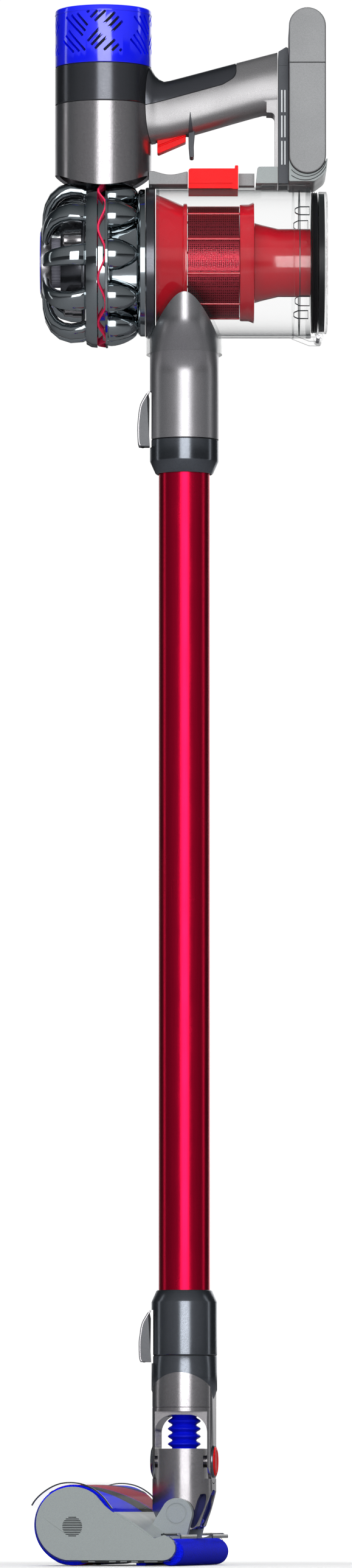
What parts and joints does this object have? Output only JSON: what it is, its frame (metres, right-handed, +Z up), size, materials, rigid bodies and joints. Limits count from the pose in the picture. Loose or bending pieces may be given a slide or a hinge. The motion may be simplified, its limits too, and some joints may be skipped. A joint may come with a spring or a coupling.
{
  "type": "cordless stick vacuum cleaner",
  "caption": "Upright cordless stick vacuum cleaner with handle, battery, clear dust bin, cyclones, red wand and soft-roller floor head.",
  "frame": {"origin": "middle of the footprint of the bounding box at floor level", "axes": "+Z up along the wand, +X towards the user and battery, front of the floor head towards -X, +Y to the left of the user"},
  "size_m": [0.2264, 0.2578, 1.2063],
  "materials": {
    "filter_blue": "satin",
    "bellows_blue": "matt",
    "pleat_paper": "pleated",
    "dark_nickel": "metallic satin",
    "nickel": "metallic satin with fine flake",
    "silver_satin": "metallic satin",
    "shell_grey": "satin",
    "dark_chrome": "mirror",
    "gasket_red": "matt",
    "clear_poly": "clear",
    "shroud_red": "translucent",
    "red_gloss": "gloss",
    "screen_steel": "etched mesh",
    "steel": "satin",
    "anodised_red": "anodised",
    "black_parts": "matt",
    "seal_black": "matt",
    "felt_blue": "felt"
  },
  "bodies": {
    "main_unit": {"lower_housing": "nickel", "upper_housing": "dark_nickel", "motor_body": "steel", "cyclone_pack": "dark_chrome", "cyclone_gasket": "gasket_red", "scroll_ring": "dark_chrome", "cyclone_ducts": "dark_chrome", "inner_cyclones": "nickel", "bin_collar": "dark_nickel", "shroud_cone": "shroud_red", "shroud_mesh": "screen_steel", "shroud_skirt": "shroud_red", "fines_tube": "shroud_red", "handle_grip": "silver_satin", "handle_cover": "dark_nickel", "post_strip": "dark_nickel", "base_block": "shell_grey", "battery_case": "silver_satin", "battery_plate": "silver_satin", "battery_base": "shell_grey", "battery_cells": "black_parts", "rail": "nickel", "inlet_duct": "nickel", "inlet_frame": "clear_poly", "upper_collar": "nickel", "wand_tube": "anodised_red", "lower_collar": "nickel", "yoke": "nickel", "upper_bellows": "bellows_blue", "roll_cap_rear": "red_gloss", "roll_cap_front": "nickel"},
    "filter": {"filter_cap": "filter_blue", "filter_element": "pleat_paper"},
    "rotor": {"motor_rotor": "black_parts"},
    "prefilter": {"prefilter_cap": "filter_blue", "prefilter_sleeve": "pleat_paper"},
    "dust_bin": {"bin": "clear_poly", "bin_seal": "seal_black", "lid_pin": "steel", "release_slider": "red_gloss", "push_bar": "silver_satin"},
    "lid": {"bin_lid": "clear_poly"},
    "trigger_lever": {"trigger": "red_gloss"},
    "wand_catch": {"wand_button": "silver_satin"},
    "head_catch": {"head_button": "silver_satin"},
    "neck_lower": {"lower_neck": "nickel", "lower_bellows": "bellows_blue"},
    "floor_head": {"head_shell": "shell_grey", "pitch_pin": "steel", "clear_cover": "clear_poly", "roller_core": "black_parts", "rear_axle": "steel", "sole_plate": "black_parts", "felt_strip": "felt_blue", "rear_plate": "clear_poly", "end_cap_left": "shell_grey", "end_cap_right": "shell_grey"},
    "front_roller": {"main_roller": "felt_blue"},
    "back_roller": {"rear_roller": "felt_blue"}
  },
  "joints": [
    {"name": "filter_lift", "type": "slide", "parent": "main_unit", "child": "filter", "axis": [0, 0, 1], "range_m": [0, 0.045]},
    {"name": "rotor_spin", "type": "hinge", "parent": "main_unit", "child": "rotor", "pos_m": [-0.06118, -0.00647, 1.1], "axis": [0, 0, 1], "continuous": true},
    {"name": "prefilter_pull", "type": "slide", "parent": "main_unit", "child": "prefilter", "axis": [-1, 0, 0], "range_m": [0, 0.03]},
    {"name": "bin_release", "type": "slide", "parent": "main_unit", "child": "dust_bin", "axis": [1, 0, 0], "range_m": [0, 0.01]},
    {"name": "lid_swing", "type": "hinge", "parent": "dust_bin", "child": "lid", "pos_m": [0.10582, -0.00647, 0.9492], "axis": [0, 1, 0], "range_deg": [0, 90]},
    {"name": "trigger_press", "type": "hinge", "parent": "main_unit", "child": "trigger_lever", "pos_m": [0.00082, -0.00647, 1.11], "axis": [0, 1, 0], "range_deg": [0, 6], "stiffness_Nm_per_rad": 0.4, "springref_deg": -8.59},
    {"name": "wand_catch_press", "type": "slide", "parent": "main_unit", "child": "wand_catch", "axis": [1, 0, 0], "range_m": [0, 0.0012], "stiffness_N_per_m": 800, "springref_m": -0.002},
    {"name": "head_catch_press", "type": "slide", "parent": "main_unit", "child": "head_catch", "axis": [1, 0, 0], "range_m": [0, 0.0012], "stiffness_N_per_m": 800, "springref_m": -0.002},
    {"name": "neck_roll", "type": "hinge", "parent": "main_unit", "child": "neck_lower", "pos_m": [0.00182, -0.00647, 0.0797], "axis": [0.9877, -0.1564, 0], "range_deg": [-40, 40], "deforming": ["upper_bellows"]},
    {"name": "head_pitch", "type": "hinge", "parent": "neck_lower", "child": "floor_head", "pos_m": [0.00182, -0.00647, 0.0395], "axis": [0.1564, 0.9877, 0], "range_deg": [-65, 10], "deforming": ["lower_bellows"]},
    {"name": "front_roller_spin", "type": "hinge", "parent": "floor_head", "child": "front_roller", "pos_m": [-0.06436, 0.00401, 0.031], "axis": [0.1564, 0.9877, 0], "continuous": true},
    {"name": "back_roller_spin", "type": "hinge", "parent": "floor_head", "child": "back_roller", "pos_m": [0.00873, -0.00756, 0.0103], "axis": [0.1564, 0.9877, 0], "continuous": true}
  ]
}
